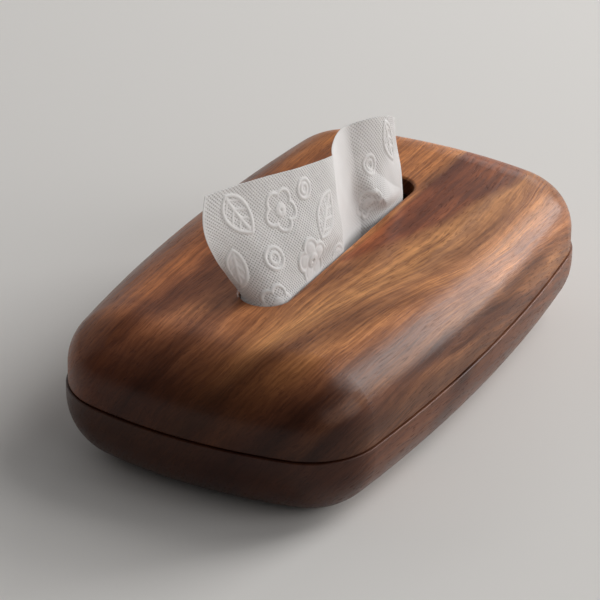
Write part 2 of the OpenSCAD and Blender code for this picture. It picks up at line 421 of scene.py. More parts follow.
    def shade(self, node: AddNode, at: Place, parts: dict[str, Socket]) -> Socket:
        """Shades the board by its bands, its figure, its pores and the slot's cut wall. Painted
        shade lies at the near end, in some bands and on the slot's wall.

        Args:
            node: adds a node to the material.
            at: the point's place.
            parts: the fine figure.

        Returns:
            The share of the board's colour that is left.
        """
        tone_and_painted_shade = self.along_box(node, at.x, self.tone_and_painted_shade)
        shade = tone_and_painted_shade
        for band in self.bands:
            away = self.along_box(node, at.x, band.course)
            away = node("Math", (at.level, away), operation="SUBTRACT")
            away = node("Math", (away, band.half_width), operation="DIVIDE")
            away = node("Math", (away, away), operation="MULTIPLY")
            near = node("Math", (away, -1.0), operation="MULTIPLY")
            near = node("Math", (near,), operation="EXPONENT")
            deep = self.along_box(node, at.x, band.strength)
            deep = node("Math", (deep, near), operation="MULTIPLY")
            factor = node("Math", (1.0, deep), operation="SUBTRACT")
            shade = node("Math", (shade, factor), operation="MULTIPLY")
        # The figure is quieter where the wood is dark or painted shade lies
        quiet = node("Math", (tone_and_painted_shade, self.quieting, 1 - self.quieting), operation="MULTIPLY_ADD")
        factors = []
        for name, gain in self.CONTRAST.items():
            factor = node("Math", (parts[name], gain, -gain / 2), operation="MULTIPLY_ADD")
            factors.append(node("Math", (factor, quiet, 1.0), operation="MULTIPLY_ADD"))
        patches = (parts["cloud"], -self.pore_patches, -self.pore_shade)
        deep = node("Math", patches, operation="MULTIPLY_ADD")
        factors.append(node("Math", (parts["pores"], deep, 1.0), operation="MULTIPLY_ADD"))
        # Darkens the slot's cut wall: darker end grain and painted shade inside the slot
        cut_wall = self.slot_wall(node, at)
        factors.append(node("Math", (cut_wall, -self.end_grain_and_slot_shade, 1.0), operation="MULTIPLY_ADD"))
        for factor in factors:
            shade = node("Math", (shade, factor), operation="MULTIPLY")
        return shade

    def slot_wall(self, node: AddNode, at: Place) -> Socket:
        """Tells the slot's cut wall from the rest of the shell.

        Args:
            node: adds a node to the material.
            at: the point's place.

        Returns:
            1 on the slot's wall and 0 elsewhere.
        """
        wall = node("Math", (at.z, self.inside_high), operation="GREATER_THAN")
        across = node("Math", (at.y,), operation="ABSOLUTE")
        along = node("Math", (at.x,), operation="ABSOLUTE")
        for value, limit in (
            (at.z, self.slot_lip),
            (across, self.slot_half_width),
            (along, self.slot_half_length),
        ):
            within = node("Math", (value, limit), operation="LESS_THAN")
            wall = node("Math", (wall, within), operation="MULTIPLY")
        return wall

    def colour(self, node: AddNode, at: Place, parts: dict[str, Socket]) -> Socket:
        """Shades the board's colour, green and blue more than red.

        Args:
            node: adds a node to the material.
            at: the point's place.
            parts: the fine figure.

        Returns:
            The wood's colour.
        """
        shade = self.shade(node, at, parts)
        green = node("Math", (shade, self.green_fall), operation="POWER")
        blue = node("Math", (shade, self.blue_fall), operation="POWER")
        shades = node("CombineXYZ", (shade, green, blue))
        return node("VectorMath", (self.board(node, at), shades), operation="MULTIPLY")

    def bare(self, node: AddNode, at: Place) -> Socket:
        """Tells the bare inside of the shell from its lacquered outside.

        Args:
            node: adds a node to the material.
            at: the point's place.

        Returns:
            1 on the inside and 0 outside.
        """
        reaches = []
        for along, across, half, bow in (
            (at.x, at.y, self.half_length, self.end_radius),
            (at.y, at.x, self.half_width, self.side_radius),
        ):
            away = node("Math", (along,), operation="ABSOLUTE")
            square = node("Math", (across, across), operation="MULTIPLY")
            away = node("Math", (square, 0.5 / bow, away), operation="MULTIPLY_ADD")
            reach = node("Math", (away, half - self.corner_radius), operation="SUBTRACT")
            reaches.append(reach)
        corner = [node("Math", (reach, 0.0), operation="MAXIMUM") for reach in reaches]
        corner = node("CombineXYZ", corner)
        corner = node("VectorMath", (corner,), output="Value", operation="LENGTH")
        flat = node("Math", reaches, operation="MAXIMUM")
        flat = node("Math", (flat, 0.0), operation="MINIMUM")
        out = node("Math", (corner, flat), operation="ADD")
        deep = node("Math", (out, self.corner_radius - self.wall), operation="LESS_THAN")
        above = node("Math", (at.z, self.inside_low), operation="GREATER_THAN")
        below = node("Math", (at.z, self.inside_high), operation="LESS_THAN")
        inside = node("Math", (deep, above), operation="MULTIPLY")
        return node("Math", (inside, below), operation="MULTIPLY")

    def material(self) -> bpy.types.Material:
        """Builds the wood from Object coordinates.

        Returns:
            The material.
        """
        made, node = new_material(f"satin_lacquered_acacia_{self.shell.value}")
        at = self.place(node)
        parts = self.figure(node, at)
        inside = self.bare(node, at)
        pale = node("Math", (inside, self.inside_share), operation="MULTIPLY")
        outside = self.colour(node, at, parts)
        blend = {"Factor": pale, "A": outside, "B": linear(self.inside_colour)}
        colour = node("Mix", blend, output="Result", data_type="RGBA")
        rough = self.roughness
        for part, gain in (
            (parts["fibre"], self.fibre_roughness),
            (parts["pores"], self.pore_roughness),
            (inside, self.bare_roughness),
        ):
            rough = node("Math", (part, gain, rough), operation="MULTIPLY_ADD")
        # Fibres stand a little proud of the lacquer's level, and pores dip below it
        height = node("Math", (parts["fibre"], 0.5), operation="MULTIPLY")
        height = node("Math", (parts["pores"], -0.7, height), operation="MULTIPLY_ADD")
        bump = node("Bump", {"Height": height, "Distance": self.relief * MM, "Strength": 1.0})
        lacquer = {
            "Base Color": colour,
            "Roughness": rough,
            "Normal": bump,
            "IOR": 1.5,
            "Specular IOR Level": 0.15,
            "Coat Weight": 0.16,
            "Coat Roughness": 0.22,
        }
        node("OutputMaterial", {"Surface": node("BsdfPrincipled", lacquer)})
        return made


@dataclass(frozen=True)
class PlatedNickel:
    """Barrel-plated nickel on a small disc magnet: bright grey metal with fine marks."""

    colour: str = "c9c6c0"
    mark: float = 0.4

    def material(self) -> bpy.types.Material:
        """Builds the plating from Object coordinates.

        Returns:
            The material.
        """
        made, node = new_material("barrel_plated_nickel")
        spot = node("TexCoord", output="Object")
        marks = node("TexNoise", {"Vector": spot, "Scale": 1 / (self.mark * MM), "Detail": 3.0})
        rough = node("MapRange", {"Value": marks, "To Min": 0.16, "To Max": 0.34})
        bump = node("Bump", {"Height": marks, "Distance": 0.01 * MM, "Strength": 0.6})
        metal = {
            "Base Color": linear(self.colour),
            "Metallic": 1.0,
            "Roughness": rough,
            "Normal": bump,
        }
        node("OutputMaterial", {"Surface": node("BsdfPrincipled", metal)})
        return made


@dataclass(frozen=True)
class SoftTissue:
    """Bleached pulp tissue, two plies pressed together between patterned rollers.

    It is matt and lets light through, and the rollers leave a fine grid of pits that
    stops along the smooth folds and inside some of the figures.
    """

    colour: str = "f8f7f6"
    # Pits are drawn darker: painted shade in their hollows
    pit_shade_colour: str = "dddbd9"
    # Pits stand about 0.8 mm apart on the real sheet; drawn wider, so that they show
    pit_pitch: float = 1.15
    pit_depth: float = 0.24
    fibre: float = 0.6
    # Height of the loose fibres, as a share of the pits' depth
    fuzz: float = 0.22
    light_through: float = 0.5

    def material(self, pits: str, sheet_map: str) -> bpy.types.Material:
        """Builds the paper.

        Args:
            pits: vertex attribute that says where pits are pressed, from 0 to 1.
            sheet_map: UV map that holds the sheet's own centimetres.

        Returns:
            The material.
        """
        made, node = new_material("pressed_soft_tissue")
        across, down, _ = node("SeparateXYZ", (node("UVMap", uv_map=sheet_map),)).node.outputs
        pressed = node("Attribute", output="Fac", attribute_name=pits)
        # Rows of pits lie at 45 degrees, and the map is in tens of millimetres
        turn = 10 * math.pi / self.pit_pitch * math.sqrt(0.5)
        for operation in ("ADD", "SUBTRACT"):
            row = node("Math", (across, down), operation=operation)
            row = node("Math", (row, turn), operation="MULTIPLY")
            row = node("Math", (row,), operation="SINE")
            row = node("Math", (row, row), operation="MULTIPLY")
            pressed = node("Math", (pressed, row), operation="MULTIPLY")
        spot = node("TexCoord", output="Object")
        scale = 1 / (self.fibre * MM)
        fibres = {"Vector": spot, "Scale": scale, "Detail": 4.0, "Roughness": 0.7}
        height = node("Math", (node("TexNoise", fibres), self.fuzz), operation="MULTIPLY")
        height = node("Math", (height, pressed), operation="SUBTRACT")
        bump = node("Bump", {"Height": height, "Distance": self.pit_depth * MM, "Strength": 1.0})
        # The pits' darker colour is painted shade in their hollows
        blend = {"Factor": pressed, "A": linear(self.colour), "B": linear(self.pit_shade_colour)}
        colour = node("Mix", blend, output="Result", data_type="RGBA")
        paper = {
            "Base Color": colour,
            "Roughness": 0.92,
            "Specular IOR Level": 0.2,
            "Normal": bump,
            "Sheen Weight": 0.1,
        }
        front = node("BsdfPrincipled", paper)
        through = node("BsdfTranslucent", {"Color": colour, "Normal": bump})
        both = node("MixShader", (self.light_through, front, through))
        node("OutputMaterial", {"Surface": both})
        return made


# Pressed pattern of the tissue, in the sheet's own millimetres


class Figure(Enum):
    """Generic figures that the rollers press into the sheet."""

    LEAF = "leaf"
    RING = "ring"
    BLOSSOM = "blossom"


@dataclass(frozen=True)
class PressedPattern:
    """Soft raised outlines of leaves, rings and blossoms over the grid of pits."""

    line_width: float = 0.58
    line_height: float = 0.40
    # Lines inside a figure are lower, and each line stands between two shallow grooves
    inner_height: float = 0.7
    groove: float = 0.32
    # Pits keep clear of the lines, by line widths
    clear: float = 1.7
    # A figure without pits swells a little from its outline inwards
    swell: float = 0.3
    swell_reach: float = 2.5
    petals: int = 5
    # Veins stop this far short of a leaf's edge
    leaf_margin: float = 0.9
    # Shares of a figure's size
    leaf_bend: float = 0.62
    vein_pitch: float = 0.24
    rib_reach: float = 0.42
    petal_place: float = 0.29
    petal_radius: float = 0.22
    INNER_RADIUS: ClassVar[dict[Figure, float]] = {Figure.RING: 0.25, Figure.BLOSSOM: 0.13}
    # figure, place across, place down from the top edge, size, turn in degrees, pits inside
    figures: tuple[tuple, ...] = (
        (Figure.LEAF, 15.0, 12.0, 21.0, 58.0, True),
        (Figure.BLOSSOM, 37.0, 15.0, 17.0, 12.0, True),
        (Figure.RING, 53.0, 9.0, 8.0, 0.0, False),
        (Figure.LEAF, 64.0, 22.0, 22.0, -48.0, True),
        (Figure.RING, 27.0, 33.0, 9.0, 0.0, True),
        (Figure.LEAF, 9.0, 35.0, 17.0, 96.0, False),
        (Figure.BLOSSOM, 49.0, 38.0, 18.0, 40.0, False),
        (Figure.BLOSSOM, 22.0, 51.0, 15.0, 0.0, True),
        (Figure.RING, 72.0, 41.0, 9.0, 0.0, True),
        (Figure.LEAF, 38.0, 55.0, 15.0, 20.0, True),
        (Figure.RING, 112.0, 19.0, 8.0, 0.0, True),
        (Figure.LEAF, 127.0, 10.0, 17.0, 64.0, True),
        (Figure.BLOSSOM, 108.0, 35.0, 12.0, 25.0, True),
    )

    def outline(self, figure: Figure, x: np.ndarray, y: np.ndarray, size: float) -> np.ndarray:
        """Distance outside a figure's outline, negative within it.

        Args:
            figure: which figure.
            x: place along the figure.
            y: place across it.
            size: the figure's length.

        Returns:
            Distances in millimetres.
        """
        if figure is Figure.LEAF:
            bend = self.leaf_bend * size
            rise = math.sqrt(bend**2 - (size / 2) ** 2)
            return np.maximum(np.hypot(x, y - rise), np.hypot(x, y + rise)) - bend
        if figure is Figure.RING:
            return np.hypot(x, y) - size / 2
        turns = 2 * math.pi * np.arange(self.petals) / self.petals
        out = self.petal_place * size
        petals = [np.hypot(x - out * math.cos(turn), y - out * math.sin(turn)) for turn in turns]
        return np.min(petals, axis=0) - self.petal_radius * size

    def lines(self, figure: Figure, x: np.ndarray, y: np.ndarray, size: float) -> np.ndarray:
        """Distance from the nearest line pressed inside a figure.

        Args:
            figure: which figure.
            x: place along the figure.
            y: place across it.
            size: the figure's length.

        Returns:
            Distances in millimetres.
        """
        if figure is not Figure.LEAF:
            return np.abs(np.hypot(x, y) - self.INNER_RADIUS[figure] * size)
        pitch = self.vein_pitch * size
        veins = np.abs((x - np.abs(y)) % pitch - pitch / 2) * math.sqrt(0.5)
        # Veins are finer than the rib, and there are none near the leaf's edge
        veins += size * (self.outline(figure, x, y, size) > -self.leaf_margin)
        rib = np.maximum(np.abs(y), np.abs(x) - self.rib_reach * size)
        return np.minimum(rib, veins + 0.25)

    def press(self, u: np.ndarray, v: np.ndarray) -> tuple[np.ndarray, np.ndarray]:
        """Height of the pressed lines and the room left for pits.

        Args:
            u: place across the sheet.
            v: place down from its top edge.

        Returns:
            Height in millimetres and pits from 0 to 1.
        """
        height = np.zeros_like(u)
        pits = np.ones_like(u)
        for figure, cu, cv, size, turn, pitted in self.figures:
            c, s = math.cos(math.radians(turn)), math.sin(math.radians(turn))
            x, y = (u - cu) * c + (v - cv) * s, (v - cv) * c - (u - cu) * s
            away = self.outline(figure, x, y, size)
            edge, inner = np.abs(away), self.lines(figure, x, y, size)
            near = np.minimum(edge, inner)
            ridge = np.maximum(
                np.exp(-((edge / self.line_width) ** 2)),
                self.inner_height * np.exp(-((inner / self.line_width) ** 2)),
            )
            groove = np.exp(-(((near - 2 * self.line_width) / self.line_width) ** 2))
            height += ridge - self.groove * groove * (ridge < 0.4)
            pits *= 1 - np.clip(self.clear - near / self.line_width, 0, 1)
            if not pitted:
                pits *= np.clip(away / self.line_width, 0, 1)
                height += self.swell * np.clip(-away / self.swell_reach, 0, 1)
        return self.line_height * height, pits


# Paper pieces


@dataclass(frozen=True)
class StandingTissue:
    """The tissue that stands up through the slot, on the CAD sheet's own surface.

    across runs 0 to 1 over the left panel, 1 to 2 over the pleat and 2 to 3 over the
    right panel; up runs -2 to -1 from the end of the flap on the block to the slot,
    -1 to 0 through the slot and 0 to 1 above the lid.
    """

    lid_top: float = 62.0
    ceiling: float = 54.0
    flap_z: float = 44.6
    flap_end: float = 38.0
    # How the flap bends out from the slot over the block
    flap_ease: float = 1.4
    flap_sink: float = 2.5
    width: float = 138.0
    thickness: float = 0.3
    wrap_r: float = 9.55
    wrap_start: float = 118.0
    slot_end: float = 52.85
    pleat: tuple = ((-6.0, -9.1), (2.0, -4.8), (17.0, -5.5))
    right: tuple = ((17.0, -5.5), (26.0, -9.6), (47.0, -9.1))
    top_left: tuple = (
        (-79.5, 12.2, 50.3),
        (-49.3, 3.9, 48.1),
        (-26.8, -1.9, 42.2),
        (-5.6, -3.6, 39.5),
    )
    top_pleat: tuple = ((-5.6, -3.6, 39.5), (10.4, 5.6, 41.4), (19.3, 1.8, 41.0))
    top_right: tuple = ((19.3, 1.8, 41.0), (36.0, -8.0, 42.7), (49.8, -2.9, 32.4))
    lean_low: tuple = (0.61, 0.38, 0.05)
    lean_high: tuple = (1.25, 0.72, 0.79)
    # The left panel swells forward, the most at this place across and up
    swell: float = 3.0
    swell_at: tuple = (0.70, 0.30)
    swell_size: float = 0.24
    # The slanting crease of the right panel, from the valley and the lid's top. It steps
    # forward over the flank above it and fades out below it
    crease_from: tuple = (0.0, 17.0)
    crease_to: tuple = (21.0, -0.5)
    crease_step: float = 4.4
    crease_flank: float = 8.5
    crease_fade: float = 7.0
    crease_soften: float = 1.2
    # The slot holds the sheet to its plan up to this share of its height
    held: float = 0.22
    left_share: float = 0.56
    pleat_share: float = 0.19
    columns: int = 356
    rows_under: int = 12
    rows_slot: int = 6
    rows_above: int = 116

    # No pattern shows on the smooth fold, by place across and half its width, nor on a
    # smooth patch, by place across and down and its radius in millimetres
    SMOOTH_FOLD: ClassVar[tuple] = (1.45, 0.52)
    SMOOTH_PATCH: ClassVar[tuple] = (132.0, 25.0, 11.0)
    # Long ripples of limp paper: height, lengths across and down, and start
    RIPPLES: ClassVar[tuple] = (
        (0.12, 41.0, 23.0, 0.4),
        (0.09, -23.0, 31.0, 1.9),
        (0.05, 13.0, 17.0, 3.1),
        (0.03, -8.0, 14.0, 5.2),
    )

    @property
    def rows(self) -> int:
        """Rows of the grid, from the flap's end to the top edge."""
        return self.rows_under + self.rows_slot + self.rows_above

    @property
    def knots(self) -> list[float]:
        """Shares of the tissue's width at the left edge, the fold, the valley and the right."""
        return [0.0, self.left_share, self.left_share + self.pleat_share, 1.0]

    @staticmethod
    def bend(points: Sequence[Sequence[float]], t: np.ndarray) -> np.ndarray:
        """Bezier curve through the first and last of some points.

        Args:
            points: the curve's points.
            t: places on it, from 0 to 1.

        Returns:
            One point for each place.
        """
        level = [np.asarray(p, float) + 0 * t[..., None] for p in points]
        while len(level) > 1:
            level = [(1 - t[..., None]) * a + t[..., None] * b for a, b in zip(level, level[1:])]
        return level[0]

    @staticmethod
    def smooth(t: np.ndarray) -> np.ndarray:
        """Soft step from 0 to 1."""
        x = np.clip(t, 0, 1)
        return x * x * (3 - 2 * x)

    def slot_line(self, across: np.ndarray) -> np.ndarray:
        """Plan of the sheet where it crosses the slot.

        Args:
            across: places across the sheet.

        Returns:
            One point in plan for each place.
        """
        wrap_run = self.wrap_r * math.radians(270 - self.wrap_start)
        run = across * (wrap_run + self.pleat[0][0] + self.slot_end)
        turn = np.radians(self.wrap_start) + np.minimum(run, wrap_run) / self.wrap_r
        left = np.stack(
            [
                -self.slot_end + self.wrap_r * np.cos(turn) + np.maximum(0, run - wrap_run),
                self.wrap_r * np.sin(turn),
            ],
            -1,
        )
        middle = self.bend(self.pleat, across - 1)
        right = self.bend(self.right, across - 2)
        past_fold, past_valley = (across > 1)[..., None], (across > 2)[..., None]
        return np.where(past_valley, right, np.where(past_fold, middle, left))

    def top_line(self, across: np.ndarray) -> np.ndarray:
        """Top edge of the sheet.

        Args:
            across: places across the sheet.

        Returns:
            Plan, and height above the lid, for each place.
        """
        middle = self.bend(self.top_pleat, across - 1)
        right = self.bend(self.top_right, across - 2)
        past_fold, past_valley = (across > 1)[..., None], (across > 2)[..., None]
        left = self.bend(self.top_left, across)
        return np.where(past_valley, right, np.where(past_fold, middle, left))

    def lean(self, across: np.ndarray, up: np.ndarray) -> np.ndarray:
        """Share of the way from the slot's plan to the top's.

        Args:
            across: places across the sheet.
            up: places up the sheet, from 0 to 1.

        Returns:
            Shares from 0 at the slot to 1 at the top.
        """
        left, right = 1 - self.smooth(across), self.smooth(across - 2)
        shares = (left, 1 - left - right, right)
        low = sum(share * value for share, value in zip(shares, self.lean_low))
        high = sum(share * value for share, value in zip(shares, self.lean_high))
        return 3 * (1 - up) ** 2 * up * low + 3 * (1 - up) * up**2 * high + up**3

    def forward(self, across: np.ndarray, up: np.ndarray) -> np.ndarray:
        """How far the sheet stands forward of its plain surface.

        Args:
            across: places across the sheet.
            up: places up the sheet, from 0 to 1.

        Returns:
            Distances in millimetres.
        """
        off = (across - self.swell_at[0]) ** 2 + (up - self.swell_at[1]) ** 2
        swell = self.swell * np.exp(-off / self.swell_size**2)
        x = (across - 2) * (self.right[2][0] - self.right[0][0]) - self.crease_from[0]
        z = up * self.top_line(across)[..., 2] - self.crease_from[1]
        line = np.subtract(self.crease_to, self.crease_from)
        span = np.hypot(*line)
        along = (x * line[0] + z * line[1]) / span**2
        below = (line[1] * x - line[0] * z) / span
        flank = np.clip(1 + below / self.crease_flank, 0, 1)
        fade = np.clip(1 - below / self.crease_fade, 0, 1) ** self.crease_soften
        # The crease starts a little before its first point and ends past its last
        ends = self.smooth(2.2 * along + 0.75) * self.smooth(3 * (1.3 - along))
        ends = ends * self.smooth((across - 1.85) / 0.35)
        crease = self.crease_step * np.where(below < 0, flank, fade) * ends
        return self.smooth(up / self.held) * (swell + crease)

    def reach(self, across: np.ndarray) -> np.ndarray:
        """Share of the tissue's width that lies left of a place on the sheet."""
        return np.interp(across, [0, 1, 2, 3], self.knots)

    def surface(self, across: np.ndarray, up: np.ndarray) -> np.ndarray:
        """Points of the sheet in millimetres.

        Args:
            across: places across the sheet.
            up: places up the sheet, of the same shape.

        Returns:
            Points, with one more axis.
        """
        start, top = self.slot_line(across), self.top_line(across)
        raised = np.clip(up, 0, 1)
        plan = start + (top[..., :2] - start) * self.lean(across, raised)[..., None]
        plan[..., 1] -= self.forward(across, raised)
        above = np.concatenate([plan, (self.lid_top + top[..., 2] * raised)[..., None]], -1)
        way = np.clip(-1 - up, 0, 1)
        end = np.stack([self.width * (self.reach(across) - 0.5), self.flap_end + 0 * up], -1)
        laid = start + (end - start) * (way**self.flap_ease)[..., None]
        sink = (1 - np.clip(self.flap_sink * way, 0, 1)) ** 2
        under_z = self.flap_z + (self.ceiling - self.flap_z) * sink
        within_z = self.lid_top + np.clip(up, -1, 0) * (self.lid_top - self.ceiling)
        low_z = np.where(up < -1, under_z, within_z)
        below = np.concatenate([laid, low_z[..., None]], -1)
        return np.where((up < 0)[..., None], below, above)

    def crumple(self, u: np.ndarray, v: np.ndarray) -> np.ndarray:
        """Soft unevenness of limp paper.

        Args:
            u: place across the sheet, in millimetres.
            v: place down from its top edge.

        Returns:
            Heights in millimetres.
        """
        waves = [
            size * np.sin(2 * math.pi * (u / along + v / down) + start)
            for size, along, down, start in self.RIPPLES
        ]
        return np.sum(waves, axis=0)

    def flat_grid(self) -> tuple[bpy.types.Object, np.ndarray, np.ndarray]:
        """Adds the flat grid that the sheet is bent from.

        Returns:
            The piece, and the row and column of each of its points.
        """
        bpy.ops.object.select_all(action="DESELECT")
        bpy.ops.mesh.primitive_grid_add(
            x_subdivisions=self.columns, y_subdivisions=self.rows, size=2.0, location=(0, 0, 0)
        )
        piece = bpy.context.active_object
        flat = np.zeros(len(piece.data.vertices) * 3)
        piece.data.vertices.foreach_get("co", flat)
        column = np.rint((flat[0::3] + 1) / 2 * self.columns).astype(int)
        row = np.rint((flat[1::3] + 1) / 2 * self.rows).astype(int)
        return piece, row, column

    def pressed(self, pattern: PressedPattern) -> tuple[np.ndarray, np.ndarray, np.ndarray]:
        """Lays the grid on the sheet's surface and presses the pattern into it.

        Args:
            pattern: what the rollers pressed into the sheet.

        Returns:
            Points in millimetres, the sheet's own millimetres, which run across it and
            down each column from the top edge, and the room for pits from 0 to 1.
        """
        shares = np.linspace(0, 1, self.columns + 1)
        across_at = np.interp(shares, self.knots, [0, 1, 2, 3])
        up_at = np.concatenate([
            np.linspace(-2, -1, self.rows_under, endpoint=False),
            np.linspace(-1, 0, self.rows_slot, endpoint=False),
            np.linspace(0, 1, self.rows_above + 1),
        ])
        across, up = np.meshgrid(across_at, up_at)
        grid = self.surface(across, up)
        steps = np.linalg.norm(np.diff(grid, axis=0), axis=-1)
        v = np.concatenate([np.cumsum(steps[::-1], axis=0)[::-1], np.zeros((1, len(shares)))])
        u = np.broadcast_to(shares * self.width, v.shape)

        raised, pits = pattern.press(u, v)
        fold_at, fold_half = self.SMOOTH_FOLD
        patch_u, patch_v, patch_r = self.SMOOTH_PATCH
        smooth_fold = np.exp(-(((across - fold_at) / fold_half) ** 6))
        smooth_patch = np.exp(-((np.hypot(u - patch_u, v - patch_v) / patch_r) ** 6))
        pits *= (1 - smooth_fold) * (1 - smooth_patch) * np.clip(u / 1.5, 0, 1)
        raised *= 1 - 0.9 * smooth_fold
        # The pattern starts just above the lid, and the ripples where the sheet is free
        height = raised * self.smooth(up / 0.05)
        height += self.crumple(u, v) * self.smooth((up - 0.02) / 0.25)
        normal = np.cross(np.gradient(grid, axis=1), np.gradient(grid, axis=0))
        normal /= np.linalg.norm(normal, axis=-1, keepdims=True)
        return grid + normal * height[..., None], np.stack([u, v], -1), pits

    def build(self, pattern: PressedPattern, material: bpy.types.Material) -> bpy.types.Object:
        """Models the sheet from a flat grid.

        Args:
            pattern: what the rollers pressed into it.
            material: the paper.

        Returns:
            The finished piece.
        """
        piece, row, column = self.flat_grid()
        piece.name = piece.data.name = "tissue_sheet"
        mesh = piece.data
        points, own, pits = self.pressed(pattern)
        mesh.vertices.foreach_set("co", (points[row, column] * MM).ravel())
        marks = mesh.attributes.new("pits", "FLOAT", "POINT")
        marks.data.foreach_set("value", pits[row, column].astype(np.float32))
        layer = mesh.uv_layers.active or mesh.uv_layers.new()
        layer.name = "sheet"
        corner = np.zeros(len(mesh.loops), int)
        mesh.loops.foreach_get("vertex_index", corner)
        # The map is in tens of millimetres, which keeps its numbers small
        layer.data.foreach_set("uv", (own[row, column][corner] / 10).ravel())
        mesh.update()

        select_only(piece)
        thick = piece.modifiers.new("plies", "SOLIDIFY")
        thick.thickness = self.thickness * MM
        thick.offset = 0.0
        bpy.ops.object.modifier_apply(modifier=thick.name)
        bpy.ops.object.shade_smooth_by_angle(angle=math.radians(60))
        dress(piece, material)
        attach(piece, "lid")
        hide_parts("standing_tissue")
        LOG.info("%s: %d faces", piece.name, len(piece.data.polygons))
        return piece


@dataclass(frozen=True)
class TissueBlock:
    """The folded block in the tray: bundles of sheets with round folds on the long sides."""

    length: float = 138.0
    width: float = 94.0
    height: float = 36.0
    floor: float = 8.0
    bundles: int = 30
    # Share of a bundle's height that its paper takes, and how round its folds are
    filled: float = 0.94
    fold_round: float = 0.48
    # How far bundles lie off the middle, and how their folds wave along the box
    drift: float = 0.5
    wave: float = 0.3
    wave_lengths: tuple[float, float] = (11.0, 29.0)
    fold_reach: float = 2.0
    along_cuts: int = 24

    def bundle(self) -> bpy.types.Object:
        """Models one bundle: a slab with round folds down its long sides and a slight wave.

        Returns:
            The bundle, centred on the origin.
        """
        thick = self.filled * self.height / self.bundles
        size = (self.length - 2 * self.drift, self.width - 2 * self.drift, thick)
        bpy.ops.object.select_all(action="DESELECT")
        bpy.ops.mesh.primitive_cube_add(size=1.0, location=(0, 0, 0))
        made = bpy.context.active_object
        made.scale = [value * MM for value in size]
        bpy.ops.object.transform_apply(location=False, rotation=False, scale=True)
        bpy.ops.object.mode_set(mode="EDIT")
        bpy.ops.mesh.select_all(action="DESELECT")
        bpy.ops.object.mode_set(mode="OBJECT")
        for edge in made.data.edges:
            start, end = (made.data.vertices[k].co for k in edge.vertices)
            edge.select = abs(start.x - end.x) > 0.5 * self.length * MM
        bpy.ops.object.mode_set(mode="EDIT")
        bpy.ops.mesh.bevel(offset=self.fold_round * thick * MM, segments=3)
        for cut in range(1, self.along_cuts):
            place = (cut / self.along_cuts - 0.5) * size[0] * MM
            bpy.ops.mesh.select_all(action="SELECT")
            bpy.ops.mesh.bisect(plane_co=(place, 0, 0), plane_no=(1, 0, 0))
        bpy.ops.object.mode_set(mode="OBJECT")
        co = np.zeros(len(made.data.vertices) * 3)
        made.data.vertices.foreach_get("co", co)
        co = co.reshape(-1, 3) / MM
        fold = np.abs(co[:, 1]) - 0.5 * size[1] + self.fold_reach
        fold = np.clip(fold / self.fold_reach, 0, 1)
        short, long = (co[:, 0] / length for length in self.wave_lengths)
        wave = self.wave * (np.sin(short) * np.sin(long + 1.0) - 1)
        co[:, 1] += np.sign(co[:, 1]) * fold * wave
        made.data.vertices.foreach_set("co", (co * MM).ravel())
        made.data.update()
        return made

    def build(self, material: bpy.types.Material) -> bpy.types.Object:
        """Stacks copies of the bundle, every other one end for end, and joins them.

        Args:
            material: the paper.

        Returns:
            The finished piece.
        """
        first = self.bundle()
        stack = [first] + [first.copy() for _ in range(1, self.bundles)]
        bpy.ops.object.select_all(action="DESELECT")
        for number, bundle in enumerate(stack):
            if bundle is not first:
                bundle.data = first.data.copy()
                bpy.context.scene.collection.objects.link(bundle)
            drift = (math.sin(137 * number), math.cos(99 * number))
            lift = self.floor + self.height / self.bundles * (number + 0.5)
            shift = [self.drift * part * MM for part in drift]
            bundle.location = (*shift, lift * MM)
            bundle.rotation_euler.z = math.pi * (number % 2)
            bundle.select_set(True)
        bpy.context.view_layer.objects.active = first
        bpy.ops.object.transform_apply(location=True, rotation=True, scale=True)
        bpy.ops.object.join()
        piece = bpy.context.active_object
        piece.name = piece.data.name = "folded_tissues"
        bpy.ops.object.shade_smooth_by_angle(angle=math.radians(50))
        dress(piece, material)
        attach(piece, "base")
        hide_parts("tissue_block")
        LOG.info("%s: %d faces", piece.name, len(piece.data.polygons))
        return piece


# Wooden shells and magnets

# Growth layers from the foot of the long side, over the top, to the back
LID_LAYERS: tuple[tuple[float, str], ...] = (
    (-110.0, "533526"), (-88.0, "573626"), (-80.0, "623e29"), (-76.0, "653e29"), (-72.5, "4e2d1e"),
    (-69.0, "5c3625"), (-66.0, "855636"), (-60.0, "7c4e33"), (-52.0, "875538"), (-42.0, "945d3c"),
    (-36.0, "a3693f"), (-30.0, "a66c42"), (-24.0, "a46a41"), (-20.0, "a86f45"), (-18.0, "b67c4c"),
    (-15.0, "a46b42"), (-12.0, "a2683f"), (-5.0, "99603e"), (10.0, "985f3e"), (30.0, "955637"),
    (45.0, "9a582d"), (60.0, "98521f"), (75.0, "6c4530"),
)
TRAY_LAYERS: tuple[tuple[float, str], ...] = (
    (-110.0, "603b29"), (-95.0, "6e432e"), (-80.0, "623c2a"), (-66.0, "714630"), (-50.0, "5b3528"),
    (-30.0, "6d422c"), (-10.0, "7a4d32"), (10.0, "613a27"), (30.0, "6e442d"), (50.0, "573424"),
    (75.0, "69402b"),
)

